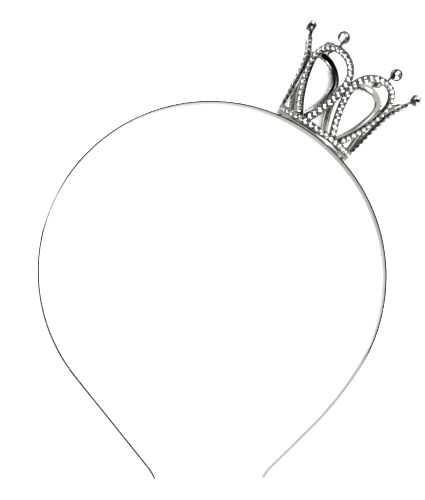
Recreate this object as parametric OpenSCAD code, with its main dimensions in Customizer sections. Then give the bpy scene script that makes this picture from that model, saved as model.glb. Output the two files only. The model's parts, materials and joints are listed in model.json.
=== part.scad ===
// Mini crown headband: a flat metal strip bent to the head, carrying a small open crown of six loops.
// It lies on its side as it does on a table, on its left leg and on the far side of the crown.
// X and Y are level, +Z is up, and the origin is on the table under the middle of its box.
// Every piece is first drawn in the strip's own frame: the origin at the centre of the arc over the head,
// X towards the right leg, Y towards the top of the head, Z across the strip towards its near edge.
// The crown's own frame stands on the bottom of its ring: Z up its axis, X along the strip, Y away
// from the near edge. A place round the crown is an angle from the near side towards the right leg.

/* [Headband strip] */
// Radius of the strip's outer face over the top of the head
band_r = 66.5; // [55:0.5:80]
// Width of the strip
band_w = 7; // [5:0.5:9]
// Thickness of the strip
band_t = 0.6; // [0.5:0.1:1.2]
// Straight stretch of the left leg
left_leg_l = 43.5; // [35:0.5:60]
// Straight stretch of the right leg
right_leg_l = 21.5; // [10:0.5:40]
// Radius of the outward curl at each tip
curl_r = 14.5; // [10:0.5:20]
// Turn of the curl at each tip, in degrees
curl_turn = 18.5; // [5:0.5:30]

/* [Crown] */
// Place of the crown, in degrees from the top of the head towards the right leg
crown_at = 34.8; // [0:0.1:40]
// Lean of the crown towards the strip's near edge, in degrees
crown_lean = 5.8; // [0:0.1:8]
// Turn of the crown about its own axis, in degrees
crown_turn = 2.3; // [-10:0.1:10]
// Radius of the loops' outer face, carried down to the bottom of the ring
base_r = 16; // [13:0.1:19]
// Flare of the loops from the crown's axis, in degrees
flare = 12.5; // [5:0.5:18]
// How far the crown's wall is pressed towards the right leg at its two ends
side_shift = 0.6; // [0:0.1:1]

/* [Base ring] */
// Height of the ring
ring_h = 3.2; // [2.8:0.1:4.2]
// Thickness of the ring's wall behind the loops' outer face
ring_t = 1; // [0.8:0.1:1.2]
// Rise of the ring's near side over its two ends, which sit on the strip
near_rise = 0.2; // [0:0.1:1]
// Rise of the ring's far side over its two ends
far_rise = 1.7; // [0:0.1:2]
// How far the ring's wall stands proud of the loops, inside and outside
ring_proud = 0.15; // [0.1:0.05:0.3]
// Height of the plain rim under the ring's row of stones
rim_h = 0.8; // [0.5:0.1:1.2]
// How far the rim stands proud of the ring's wall
rim_proud = 0.2; // [0.1:0.05:0.4]

/* [Loops] */
// Width of a loop's strip
loop_w = 3; // [2.6:0.1:3.4]
// Thickness of a loop's strip over its stones
loop_t = 2; // [1:0.1:2]
// Height of the loops' widest place
loop_wide_h = 21.5; // [18:0.5:24]
// Height of a loop's top, at the middle of its strip
loop_top_h = 30.6; // [28:0.2:32]
// How far two loops that stand a sixth of a turn apart run into each other
loop_lap = 0.35; // [0.2:0.05:0.6]

/* [Finials] */
// Length of neck that shows between a loop and its cup
neck_l = 0.95; // [0.6:0.05:2]
// Outer diameter of a cup
cup_d = 4.7; // [4:0.1:5.4]
// Depth of a cup from its back to its rim
cup_l = 3; // [2.6:0.1:4]
// How far a cup reaches inwards from the loops' outer face
cup_inset = 2; // [1.5:0.1:2.4]
// Wall of a cup at its rim
cup_wall = 0.3; // [0.2:0.05:0.5]
// Depth of a cup's straight bore
bore_l = 0.9; // [0.6:0.1:1.2]
// Length of a cup's tapered back
taper_l = 1.2; // [0.8:0.1:1.6]
// Diameter of the neck under a cup
neck_d = 1.4; // [1:0.1:2]
// Height of a stone's table over its cup's rim
stone_rise = 0.5; // [0.3:0.1:1]
// Gap between a stone and its cup
stone_gap = 0.05; // [0.03:0.01:0.1]

/* [Solder] */
// Gap between the crown and the strip
seat_gap = 0.05; // [0.03:0.01:0.1]
// Width of a dab of solder across the strip
solder_w = 4; // [3:0.5:5]
// Length of a dab of solder along the strip
solder_l = 5; // [3:0.5:6]
// Height of a dab of solder against the ring
solder_h = 1.5; // [1:0.1:2.5]

/* [Hidden] */
$fn = 64;
COUNT = 6;
STONES = [for (i = [1:COUNT]) str("finial_stone_", i)];

function unit(a) = a / norm(a);
function last(list) = list[len(list) - 1];

// The strip's two sides, from the top of the head to the tip. One row for each stretch: its radius
// (less than 0 curls outwards), its turn in degrees, and its length where it is straight.
RADIUS = 0;
TURN = 1;
LENGTH = 2;
left_side = [
    [band_r, 56.5, 0],
    [0.96 * band_r, 72.5, 0],
    [0, 0, left_leg_l],
    [-curl_r, -curl_turn, 0],
];
right_side = [
    [band_r, 68, 0],
    [0.99 * band_r, 55, 0],
    [1.91 * band_r, 13, 0],
    [0, 0, right_leg_l],
    [-curl_r, -curl_turn, 0],
];
LEFT_LEG = 2;
arc_step = 3;

// A station is a point on the strip's outer face with its heading, in degrees below +X.
HEADING = 2;
function along(from, row) =
    row[TURN] == 0
    ? [[from.x + row[LENGTH] * cos(from[HEADING]), from.y - row[LENGTH] * sin(from[HEADING]), from[HEADING]]]
    : let (steps = ceil(abs(row[TURN]) / arc_step))
      [for (i = [1:steps])
          let (heading = from[HEADING] + row[TURN] * i / steps)
          [from.x + row[RADIUS] * (sin(heading) - sin(from[HEADING])),
           from.y + row[RADIUS] * (cos(heading) - cos(from[HEADING])),
           heading]];
function walk(side, upto, done = 0, path = [[0, band_r, 0]]) =
    done == upto ? path : walk(side, upto, done + 1, concat(path, along(last(path), side[done])));
function backwards(list) = [for (i = [len(list) - 1:-1:0]) list[i]];
function mirrored(path) = [for (s = path) [-s.x, s.y, -s[HEADING]]];
function inside(path) = [for (s = path) [s.x, s.y] - band_t * [sin(s[HEADING]), cos(s[HEADING])]];
function outside(path) = [for (s = path) [s.x, s.y]];

left_path = walk(left_side, len(left_side));
right_path = walk(right_side, len(right_side));
strip_path = concat(backwards(mirrored(left_path)), [for (i = [1:len(right_path) - 1]) right_path[i]]);
strip_outline = concat(outside(strip_path), backwards(inside(strip_path)));

// The crown on the strip. Its ring sits on the strip's outer face where its inner edge crosses it.
ring_in_r = base_r - ring_t - ring_proud;
seat_x = sqrt(pow(ring_in_r - side_shift, 2) - pow(band_w / 2, 2));
seat_r = sqrt(pow(band_r, 2) - pow(seat_x, 2)) + sin(crown_lean) * band_w / 2 + seat_gap;
along_band = [cos(crown_at), -sin(crown_at), 0];
from_head = [sin(crown_at), cos(crown_at), 0];
crown_axis = from_head * cos(crown_lean) + [0, 0, sin(crown_lean)];
crown_near = [0, 0, cos(crown_lean)] - from_head * sin(crown_lean);
crown_base = from_head * seat_r;

// The loops, one row for each: its place round the crown, how far its tip is bent outwards as a share
// of its height, and how far its foot stands off its middle, in degrees.
PLACE = 0;
BEND = 1;
SKEW = 2;
loops = [
    [-149, 0, 0],
    [-95, 0.022, 0],
    [-30, 0, 2.5],
    [30, 0, 0],
    [95, 0.05, 0],
    [152, 0, 0],
];
function way_of(row) = row[PLACE] + crown_turn;

// The cups stand over the tops of the loops, at one height.
cup_r = cup_d / 2;
finial_h = loop_top_h + loop_w / 2 + neck_l + cup_r;

// The wall's outer face, at an angle round the crown and a height over the ring's two ends. A loop's
// bend grows with the cube of the height. The ring rises at its near and far sides, and so do the feet.
function wall_r(angle, h, bend = 0) =
    base_r + h * tan(flare) + side_shift * pow(sin(angle), 3) + bend * finial_h * pow(h / finial_h, 3);
function rise(angle) = pow(cos(angle), 2) * (cos(angle) > 0 ? near_rise : far_rise);
function around(angle, r, h) = [r * sin(angle), -r * cos(angle), h];

// Half a loop runs from its top (0) through its widest place (0.5) to its foot in the ring (1).
foot_share = 0.375;
foot_h = foot_share * ring_h;
foot_start = 0.04;
fullness = 0.72;
half_steps = 18;
half_angle = 180 / COUNT - (loop_w - loop_lap) / 2 / wall_r(0, loop_wide_h) * 180 / PI;
function over_foot(s) = 1 - (1 - foot_start) * (2 * s - 1);
function loop_half_angle(s) = half_angle * (s < 0.5 ? sin(180 * s) : pow(sin(90 * over_foot(s)), fullness));
function loop_way(row, side, s) =
    way_of(row) + side * loop_half_angle(s) + row[SKEW] * max(0, 1 - over_foot(s));
function loop_height(angle, s) =
    s < 0.5
    ? loop_wide_h + (loop_top_h - loop_wide_h) * cos(180 * s)
    : foot_h + (loop_wide_h - foot_h) * over_foot(s) + rise(angle) * (1 - over_foot(s));
function loop_point(row, side, s) =
    let (angle = loop_way(row, side, s), h = loop_height(angle, s))
    around(angle, wall_r(angle, h, row[BEND]), h);

// The four corners of a loop's strip: its outer face away from the loop's opening and towards it, and
// then its inner face
probe = 0.01;
function corners(row, side, s) =
    let (angle = loop_way(row, side, s),
         p = loop_point(row, side, s),
         run = unit(loop_point(row, side, min(s + probe, 1)) - loop_point(row, side, max(s - probe, 0))),
         level_run = s == 0 ? side * around(angle + 90, 1, 0) : run,
         across = side * unit(cross(around(angle, cos(flare), -sin(flare)), level_run)),
         out = side * unit(cross(level_run, across)))
    [p + across * loop_w / 2, p - across * loop_w / 2,
     p - across * loop_w / 2 - out * loop_t, p + across * loop_w / 2 - out * loop_t];

module half_loop(row, side) {
    points = [for (i = [0:half_steps]) each corners(row, side, i / half_steps)];
    top = [[0, 1, 2], [0, 2, 3]];
    foot = [for (f = top) [for (k = [2, 1, 0]) f[k] + 4 * half_steps]];
    sides = [for (i = [0:half_steps - 1]) for (k = [0:3])
        let (a = 4 * i + k, b = 4 * i + (k + 1) % 4)
        each [[a, a + 4, b], [b, a + 4, b + 4]]];
    faces = concat(top, foot, sides);
    polyhedron(points, side > 0 ? faces : [for (f = faces) [f[2], f[1], f[0]]], convexity = 6);
}

module loop(row) {
    half_loop(row, -1);
    half_loop(row, 1);
}

// The ring's wall is one section carried round the crown, with a plain rim at its foot.
ring_steps = 72;
function ring_section(angle) =
    [for (c = [
        [-ring_t - ring_proud, 0],
        [ring_proud + rim_proud, 0],
        [ring_proud + rim_proud, rim_h],
        [ring_proud, rim_h],
        [ring_proud, ring_h],
        [-ring_t - ring_proud, ring_h],
    ]) around(angle, wall_r(angle, c[1]) + c[0], c[1] + rise(angle))];

module base_ring() {
    points = [for (i = [0:ring_steps - 1]) each ring_section(360 * i / ring_steps)];
    per = len(points) / ring_steps;
    faces = [for (i = [0:ring_steps - 1]) for (k = [0:per - 1])
        let (next = (i + 1) % ring_steps,
             a = per * i + k, b = per * i + (k + 1) % per,
             c = per * next + k, d = per * next + (k + 1) % per)
        each [[a, b, c], [b, d, c]]];
    polyhedron(points, faces, convexity = 6);
}

// A cup and its stone are turned about Z with the cup's back at 0, then set facing outwards.
bore_r = cup_r - cup_wall;
bore_start = cup_l - bore_l;
cup_floor = 0.8;
floor_r = 0.5;
seat_slope = (bore_start - cup_floor) / (bore_r - floor_r);
back_r = 0.6 * cup_r;
stone_r = bore_r - stone_gap;
girdle_t = 0.3;
culet_r = 0.3 * stone_r;
table_r = 0.58 * stone_r;
pavilion_lift = 2 * stone_gap;
function stone_seat(r) = cup_floor + (r - floor_r) * seat_slope + pavilion_lift;
function cup_back(row) = wall_r(way_of(row), finial_h, row[BEND]) - cup_inset;

module in_cup_place(row) {
    rotate([0, 0, way_of(row)])
        translate([0, -cup_back(row), finial_h])
        rotate([90, 0, 0])
        children();
}

module cup() {
    rotate_extrude() polygon([
        [0, 0],
        [back_r, 0],
        [cup_r, taper_l],
        [cup_r, cup_l],
        [bore_r, cup_l],
        [bore_r, bore_start],
        [floor_r, cup_floor],
        [0, cup_floor],
    ]);
}

module brilliant() {
    rotate_extrude() polygon([
        [0, stone_seat(culet_r)],
        [culet_r, stone_seat(culet_r)],
        [stone_r, stone_seat(stone_r)],
        [stone_r, stone_seat(stone_r) + girdle_t],
        [table_r, cup_l + stone_rise],
        [0, cup_l + stone_rise],
    ]);
}

// The neck follows the loop's slope, from inside the top of its strip into the cup.
module neck(row) {
    foot = loop_top_h + 0.2 * loop_w;
    foot_r = wall_r(way_of(row), foot, row[BEND]) - loop_t / 2;
    head = finial_h - cup_r + 0.5 * neck_d;
    head_r = wall_r(way_of(row), head, row[BEND]) - loop_t / 2;
    rotate([0, 0, way_of(row)])
        translate([0, -foot_r, foot])
        rotate([atan2(head_r - foot_r, head - foot), 0, 0])
        cylinder(d = neck_d, h = norm([head_r - foot_r, head - foot]));
}

// A dab of solder fills the corner between the ring and the strip, and follows the strip's face.
module solder_dab(side) {
    in_r = ring_in_r + side * side_shift;
    wall_x = in_r + ring_t / 2;
    toe_x = in_r - solder_l;
    strip_h = sqrt(pow(band_r, 2) - pow(toe_x, 2)) - seat_r;
    toe_h = strip_h + 0.3 * solder_h;
    difference() {
        in_crown_place()
            mirror([side < 0 ? 1 : 0, 0, 0])
            rotate([90, 0, 0])
            translate([0, 0, -solder_w / 2])
            linear_extrude(solder_w)
            polygon([[toe_x, -solder_h], [wall_x, -solder_h], [wall_x, solder_h], [toe_x, toe_h]]);
        translate([0, 0, -band_w]) cylinder(r = band_r + seat_gap, h = 2 * band_w, $fn = 240);
    }
}

module in_crown_place() {
    multmatrix([for (k = [0:2]) [along_band[k], -crown_near[k], crown_axis[k], crown_base[k]]]) children();
}

// Resting on the table. What can touch it or bound the box: the strip's corners, the loops' corners, and
// each finial's two circles, its cup's rim and its stone's table.
function in_band(p) = crown_base + along_band * p.x - crown_near * p.y + crown_axis * p.z;
strip_corners = [for (z = [-band_w / 2, band_w / 2]) for (p = strip_outline) [p.x, p.y, z]];
loop_corners = [for (row = loops) for (side = [-1, 1]) for (i = [0:half_steps])
    for (c = corners(row, side, i / half_steps)) in_band(c)];
CENTRE = 0;
AXIS = 1;
SIZE = 2;
circles = [for (row = loops) for (c = [[cup_l, cup_r], [cup_l + stone_rise, table_r]])
    let (axis = along_band * sin(way_of(row)) + crown_near * cos(way_of(row)))
    [crown_base + crown_axis * finial_h + axis * (cup_back(row) + c[0]), axis, c[1]]];
function rim_point(circle, way) =
    circle[CENTRE] + circle[SIZE] * unit(way - circle[AXIS] * (circle[AXIS] * way));
function crown_points(way) = concat(loop_corners, [for (c = circles) rim_point(c, way)]);
function furthest(points, way) =
    let (reaches = [for (p = points) p * way], most = max(reaches))
    [for (i = [0:len(points) - 1]) if (reaches[i] == most) points[i]][0];
function reach(way) = furthest(concat(strip_corners, crown_points(way)), way) * way;

// The table's plane holds the lower edge of the left leg, from its top to its curled tip, and the
// crown's lowest point.
leg_top = last(mirrored(walk(left_side, LEFT_LEG)));
leg_tip = last(mirrored(left_path));
edge_top = [leg_top.x, leg_top.y, -band_w / 2];
edge_tip = [leg_tip.x, leg_tip.y, -band_w / 2];
function facing_down(normal) = normal.z > 0 ? -normal : normal;
function plane_through(crown_point) = facing_down(unit(cross(edge_tip - edge_top, crown_point - edge_top)));
function settle(down, turns) =
    turns == 0 ? down : settle(plane_through(furthest(crown_points(down), down)), turns - 1);
up = -settle([0, 0, -1], 8);
level_x = unit([1, 0, 0] - up * up.x);
level_y = cross(up, level_x);
level = [
    [each level_x, (reach(-level_x) - reach(level_x)) / 2],
    [each level_y, (reach(-level_y) - reach(level_y)) / 2],
    [each up, reach(-up)],
];

module headband_strip() {
    color("silver")
        multmatrix(level)
        translate([0, 0, -band_w / 2])
        linear_extrude(band_w)
        polygon(strip_outline);
}

module crown_frame() {
    color("gainsboro") multmatrix(level) {
        in_crown_place() {
            base_ring();
            for (row = loops) {
                loop(row);
                neck(row);
                in_cup_place(row) cup();
            }
        }
        solder_dab(-1);
        solder_dab(1);
    }
}

module finial_stone(i) {
    color("aliceblue") multmatrix(level) in_crown_place() in_cup_place(loops[i]) brilliant();
}

headband_strip();
crown_frame();
for (i = [0:COUNT - 1]) finial_stone(i);
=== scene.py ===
"""A mini crown headband: a polished metal strip bent to the head, and a small crown of stone-set loops.

Lengths are in metres. The strip's frame has its origin at the centre of the arc over the head, X towards
the right leg, Y towards the top of the head and Z across the strip towards its near edge. The crown's
frame stands on the foot of its ring: X along the strip, Y away from the near edge and Z up its axis.
"""

import json
import math

import bpy
from bpy.props import FloatProperty, FloatVectorProperty, IntProperty, PointerProperty
from mathutils import Matrix, Vector, noise


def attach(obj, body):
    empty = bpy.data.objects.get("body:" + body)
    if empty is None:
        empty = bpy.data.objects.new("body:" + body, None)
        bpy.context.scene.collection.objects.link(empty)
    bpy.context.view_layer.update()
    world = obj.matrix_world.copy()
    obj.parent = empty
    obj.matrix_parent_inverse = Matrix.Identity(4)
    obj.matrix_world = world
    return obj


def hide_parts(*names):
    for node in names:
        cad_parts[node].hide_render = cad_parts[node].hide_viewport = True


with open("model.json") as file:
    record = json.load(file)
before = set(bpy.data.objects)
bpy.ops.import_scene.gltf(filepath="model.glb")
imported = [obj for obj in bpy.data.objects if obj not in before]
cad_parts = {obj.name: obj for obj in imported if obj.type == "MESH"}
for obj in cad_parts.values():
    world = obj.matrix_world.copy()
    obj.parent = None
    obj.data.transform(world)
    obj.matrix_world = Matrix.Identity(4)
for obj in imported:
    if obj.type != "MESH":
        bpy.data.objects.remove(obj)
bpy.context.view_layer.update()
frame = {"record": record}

bl_info = {
    "name": "Mini Crown Headband",
    "version": (1, 0, 0),
    "blender": (4, 5, 0),
    "location": "View3D > Sidebar > Crown Headband",
    "description": "Builds a metal headband that carries a small open crown of stone-set loops",
    "category": "Add Mesh",
}

BODY = "root"
MM = 0.001
FINIALS = [f"finial_stone_{i}" for i in range(1, 7)]


def size(name, description, millimetres):
    """A size of the object, given in millimetres."""
    return FloatProperty(
        name=name, description=description, default=millimetres * MM, min=0, unit="LENGTH", precision=5
    )


def angle(name, description, degrees):
    """An angle of the object, given in degrees."""
    return FloatProperty(
        name=name, description=description, default=math.radians(degrees), subtype="ANGLE"
    )


def colour(name, description, red, green, blue):
    """A colour that a user may change."""
    return FloatVectorProperty(
        name=name, description=description, default=(red, green, blue), min=0, max=1, subtype="COLOR"
    )


class StripSizes(bpy.types.PropertyGroup):
    """Sizes of the bent strip."""

    radius: size("Radius", "Radius of the outer face over the top of the head", 66.5)
    width: size("Width", "Width of the strip", 7)
    thickness: size("Thickness", "Thickness of the strip", 0.6)
    edge: size("Edge rounding", "Radius of the rounding along the strip's edges", 0.07)
    left_leg: size("Left leg", "Straight stretch of the left leg", 43.5)
    right_leg: size("Right leg", "Straight stretch of the right leg", 21.5)
    curl_radius: size("Curl radius", "Radius of the outward curl at each tip", 14.5)
    curl_turn: angle("Curl turn", "Turn of the curl at each tip", 18.5)


class CrownSizes(bpy.types.PropertyGroup):
    """Sizes of the crown's metal."""

    place: angle("Place", "Place of the crown from the top of the head towards the right leg", 34.8)
    lean: angle("Lean", "Lean of the crown towards the strip's near edge", 5.8)
    turn: angle("Turn", "Turn of the crown about its own axis", 2.3)
    radius: size("Radius", "Radius of the loops' outer face, carried down to the foot of the ring", 16)
    flare: angle("Flare", "Flare of the loops from the crown's axis", 12.5)
    side_shift: size("Side shift", "How far the wall is pressed towards the right leg at its two ends", 0.6)
    ring_height: size("Ring height", "Height of the ring", 3.2)
    near_rise: size("Near rise", "Rise of the ring's near side over its two ends", 0.2)
    far_rise: size("Far rise", "Rise of the ring's far side over its two ends", 1.7)
    ring_thickness: size("Ring thickness", "Thickness of the ring's wall behind the loops' outer face", 1)
    ring_proud: size("Ring proud", "How far the ring stands proud of the loops", 0.15)
    rim_height: size("Rim height", "Height of the plain rim under the ring's stones", 0.8)
    rim_proud: size("Rim proud", "How far the rim stands proud of the ring", 0.2)
    loop_width: size("Loop width", "Width of a loop over its prongs", 3)
    loop_thickness: size("Loop thickness", "Thickness of a loop over its stones", 2)
    loop_lap: size("Loop lap", "How far two loops a sixth of a turn apart run into each other", 0.35)
    wide_height: size("Widest height", "Height of the loops' widest place", 21.5)
    top_height: size("Top height", "Height of a loop's top, at the middle of its strip", 30.6)
    neck_length: size("Neck length", "Length of neck that shows between a loop and its cup", 0.95)
    neck_width: size("Neck width", "Diameter of a neck", 1.4)
    seat_gap: size("Seat gap", "Gap between the crown and the strip", 0.05)


class FinialSizes(bpy.types.PropertyGroup):
    """Sizes of the cups and their round stones."""

    cup: size("Cup", "Outer diameter of a cup", 4.7)
    depth: size("Depth", "Depth of a cup from its back to its rim", 3)
    inset: size("Inset", "How far a cup reaches inwards from the loops' outer face", 2)
    wall: size("Wall", "Wall of a cup at its rim", 0.3)
    bore: size("Bore", "Depth of a cup's straight bore", 0.9)
    taper: size("Taper", "Length of a cup's tapered back", 1.2)
    rise: size("Rise", "Height of a stone's table over its cup's rim", 0.5)
    gap: size("Gap", "Gap between a stone and its cup", 0.05)


class StoneSizes(bpy.types.PropertyGroup):
    """Sizes of the small stones in their rows, and of the seats and prongs that hold them."""

    width: size("Width", "Diameter of a small stone", 2.1)
    pitch: size("Pitch", "Distance from stone to stone along a loop", 2.25)
    ring_count: IntProperty(name="Ring stones", description="Stones round the ring", default=42, min=12)
    sink: size("Sink", "Depth of a stone's table under the front of the prongs", 0.06)
    seat_wall: size("Seat wall", "Wall of the thin seat round a stone", 0.17)
    prong: size("Prong", "Diameter of a prong's bead", 0.62)
    uneven: angle("Unevenness", "How far the stones lean from true", 5)


class Finishes(bpy.types.PropertyGroup):
    """Colours of the finishes."""

    plating: colour("Plating", "Polished silver-coloured plating", 0.2, 0.2, 0.188)
    worn: colour("Worn plating", "Plating where it has dulled and yellowed a little", 0.13, 0.13, 0.116)
    dulled: colour("Dulled plating", "The strip's plating where it is handled", 0.32, 0.32, 0.305)
    strip_glance: colour("Strip, glancing", "Tint of the strip seen at a glancing angle", 0.7, 0.7, 0.68)
    dulled_glance: colour("Dulled, glancing", "Tint of the dulled strip seen so", 0.65, 0.65, 0.62)
    cast_glance: colour("Cast, glancing", "Tint of the cast metal seen so", 0.6, 0.6, 0.58)
    # Painted shade: near-black colour mixed into the plating in hollows, on the stone plates and in the cups
    hollow_shade: colour("Hollows", "Plating that has gone dark in the hollows", 0.008, 0.008, 0.007)
    solder: colour("Solder", "Dull grey solder", 0.22, 0.22, 0.21)
    glass: colour("Glass", "Clear cut glass", 0.98, 0.99, 1.0)
    tinted_glass: colour("Tinted glass", "Clear cut glass with a breath of tint", 0.93, 0.93, 0.95)
    foil: colour("Foil", "Silver foil behind the stones", 0.85, 0.85, 0.85)
    floor: colour("Floor", "Plain pale floor", 0.94, 0.94, 0.94)


class HeadbandSettings(bpy.types.PropertyGroup):
    """All that a user may change."""

    strip: PointerProperty(type=StripSizes)
    crown: PointerProperty(type=CrownSizes)
    finial: PointerProperty(type=FinialSizes)
    stone: PointerProperty(type=StoneSizes)
    finish: PointerProperty(type=Finishes)


def settings():
    """The scene's settings for the headband."""
    return bpy.context.scene.crown_headband


# The strip's two sides from the top of the head to the tip. One row for each stretch: its radius (less
# than 0 curls outwards), its turn, and its length where it is straight.
def left_side(s):
    """The left side, a little tighter below the arc over the head."""
    return (
        (s.radius, math.radians(56.5), 0),
        (0.96 * s.radius, math.radians(72.5), 0),
        (0, 0, s.left_leg),
        (-s.curl_radius, -s.curl_turn, 0),
    )


def right_side(s):
    """The right side, with a long slow arc above its leg."""
    return (
        (s.radius, math.radians(68), 0),
        (0.99 * s.radius, math.radians(55), 0),
        (1.91 * s.radius, math.radians(13), 0),
        (0, 0, s.right_leg),
        (-s.curl_radius, -s.curl_turn, 0),
    )


# The loops, one row for each: its place round the crown in degrees, how far its tip is bent outwards as
# a share of its height, and how far its foot stands off its middle in degrees.
PLACE, BEND, SKEW = range(3)
LOOPS = (
    (-149, 0, 0),
    (-95, 0.022, 0),
    (-30, 0, 2.5),
    (30, 0, 0),
    (95, 0.05, 0),
    (152, 0, 0),
)

# Where the photograph was taken from, in the strip's frame, its focal length and height in pixels, and
# the camera's sensor in millimetres
CAMERA_PLACE = Vector((-57.9, -47.3, 661.2)) * MM
CAMERA_TARGET = Vector((0.05, 9.65, 0)) * MM
FOCAL_PIXELS = 1753
PICTURE_HEIGHT = 500
SENSOR = 36

# The dark panels of the studio, one row for each: the direction it stands in and its height, both in
# degrees, the angles from there at which it starts and is fully dark, and how much light it still gives.
# The strength of the light all round follows.
DARK_PANELS = (
    (-45, 86, 35, 27, 0.0),
    (-10, 15, 49, 40, 0.0),
    (112, 34, 45, 30, 0.3),
    (200, 15, 60, 50, 0.03),
)
WORLD_LIGHT = 8.4

# The two soft lights with their places, the lights' power in watts and size, and the floor's half width,
# in metres, and how much of the floor's colour is left where its grain is darkest
SOFTBOXES = {"far_softbox": (-0.6, 0.9, 0.8), "near_softbox": (0.5, -0.9, 0.7)}
SOFTBOX_POWER = 10
SOFTBOX_SIZE = (0.6, 0.4)
FLOOR_REACH = 3
FLOOR_GRAIN = 0.985

# The stretches of the strip that handling has dulled, each by its start and end along the strip from the
# left tip, and the length over which one fades
DULL_STRETCHES = ((112 * MM, 123 * MM), (335 * MM, 400 * MM))
DULL_FADE = 7 * MM


def axes_at(origin, x, y, z):
    """A frame from its origin and the ways that its three axes run."""
    return Matrix.Translation(origin) @ Matrix((x, y, z)).transposed().to_4x4()


def mount(name):
    """A mount's place and axis."""
    found = next(m for m in frame["record"]["mounts"] if m["name"] == name)
    return Vector(found["pos_m"]), Vector(found["axis"]).normalized()


def strip_place():
    """The strip's frame as the row has it, read from the mounts over the head and on the left leg."""
    s = settings().strip
    seat, down = mount("head_seat")
    across = down.cross(mount("left_leg_face")[1]).normalized()
    across *= math.copysign(1, across.z)
    origin = seat + down * (s.radius - s.thickness)
    return axes_at(origin, (-down).cross(across), -down, across)


def ring_inside():
    """Radius of the ring's inner face at its foot."""
    c = settings().crown
    return c.radius - c.ring_thickness - c.ring_proud


def ring_seat():
    """Distance of the ring's foot from the centre of the strip's arc, where its inner edge sits on it."""
    s, c = settings().strip, settings().crown
    seat_x = math.sqrt((ring_inside() - c.side_shift) ** 2 - (s.width / 2) ** 2)
    return math.sqrt(s.radius**2 - seat_x**2) + math.sin(c.lean) * s.width / 2 + c.seat_gap


def crown_place():
    """The crown's frame as the row has it."""
    c = settings().crown
    along = Vector((math.cos(c.place), -math.sin(c.place), 0))
    out = Vector((math.sin(c.place), math.cos(c.place), 0))
    axis = out * math.cos(c.lean) + Vector((0, 0, math.sin(c.lean)))
    near = Vector((0, 0, math.cos(c.lean))) - out * math.sin(c.lean)
    return strip_place() @ axes_at(out * ring_seat(), along, -near, axis)


def around(turn, radius, height):
    """A point of the crown's frame from its angle round the crown, its radius and its height."""
    return Vector((radius * math.sin(turn), -radius * math.cos(turn), height))


def finial_height():
    """Height of the big stones' centres."""
    c, f = settings().crown, settings().finial
    return c.top_height + c.loop_width / 2 + c.neck_length + f.cup / 2


def wall_radius(turn, height, bend=0.0):
    """Radius of the loops' outer face, at an angle round the crown and a height."""
    c, top = settings().crown, finial_height()
    flared = height * math.tan(c.flare) + bend * top * (height / top) ** 3
    return c.radius + flared + c.side_shift * math.sin(turn) ** 3


def wall_facing(turn):
    """The way that the crown's wall faces."""
    flare = settings().crown.flare
    return around(turn, math.cos(flare), -math.sin(flare))


def ring_rise(turn):
    """How far the ring lies over its two ends, at an angle round the crown."""
    c = settings().crown
    return math.cos(turn) ** 2 * (c.near_rise if math.cos(turn) > 0 else c.far_rise)


def way_of(row):
    """A loop's angle round the crown."""
    return math.radians(row[PLACE]) + settings().crown.turn


# A loop's places run from one foot (-1) over its top (0) to the other foot (1). It is widest half-way.
FOOT_SHARE = 0.375
FOOT_START = 0.04
FULLNESS = 0.72


def over_foot(s):
    """How high a place of a loop's leg lies, from its foot to its widest place."""
    return 1 - (1 - FOOT_START) * (2 * s - 1)


def loop_half_angle(s):
    """Half the angle round the crown that a loop takes at a place."""
    c = settings().crown
    widest = math.pi / len(LOOPS) - (c.loop_width - c.loop_lap) / 2 / wall_radius(0, c.wide_height)
    if s < 0.5:
        return widest * math.sin(math.pi * s)
    return widest * math.sin(math.pi / 2 * over_foot(s)) ** FULLNESS


def loop_point(row, at):
    """The middle of a loop's outer face at a place, and the way that the wall faces there."""
    c = settings().crown
    side, s = math.copysign(1, at), abs(at)
    turn = way_of(row) + side * loop_half_angle(s) + math.radians(row[SKEW]) * max(0, 1 - over_foot(s))
    if s < 0.5:
        height = c.wide_height + (c.top_height - c.wide_height) * math.cos(math.pi * s)
    else:
        foot = FOOT_SHARE * c.ring_height
        height = foot + (c.wide_height - foot) * over_foot(s) + ring_rise(turn) * (1 - over_foot(s))
    return around(turn, wall_radius(turn, height, row[BEND]), height), wall_facing(turn)


def squared(points, walls, closed=False):
    """The ways that a wall faces along a line of points, each turned square to the line."""
    found = []
    last = len(points) - 1
    for i, wall in enumerate(walls):
        before = points[i - 1] if i or closed else points[0]
        after = points[(i + 1) % len(points)] if i < last or closed else points[last]
        run = (after - before).normalized()
        found.append((wall - run * wall.dot(run)).normalized())
    return found


def loop_line(row, start, end, steps=96):
    """Points along the middle of a loop's outer face between two places, with the ways that they face."""
    found = [loop_point(row, start + (end - start) * i / steps) for i in range(steps + 1)]
    points = [point for point, wall in found]
    return points, squared(points, [wall for point, wall in found])


def loop_end(row, side, height, steps=400):
    """The lowest place of a loop's leg whose height over the ring's foot is at least that given."""
    for i in range(steps, 0, -1):
        point, wall = loop_point(row, side * i / steps)
        if point.z - ring_rise(math.atan2(point.x, -point.y)) >= height:
            return side * i / steps
    raise ValueError("the loop's leg never reaches that height")


def loops_over(height):
    """The lines of all loops, each from one leg to the other over that height."""
    return [loop_line(row, loop_end(row, -1, height), loop_end(row, 1, height)) for row in LOOPS]


def even_turns(count):
    """Angles in even steps round a whole turn."""
    return [math.tau * i / count for i in range(count)]


def ring_line(height=0.0, proud=0.0):
    """Points round the ring at a height over its foot, with their angles round the crown."""
    turns = [-turn for turn in even_turns(144)]
    points = [around(t, wall_radius(t, height) + proud, height + ring_rise(t)) for t in turns]
    return points, turns


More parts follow.
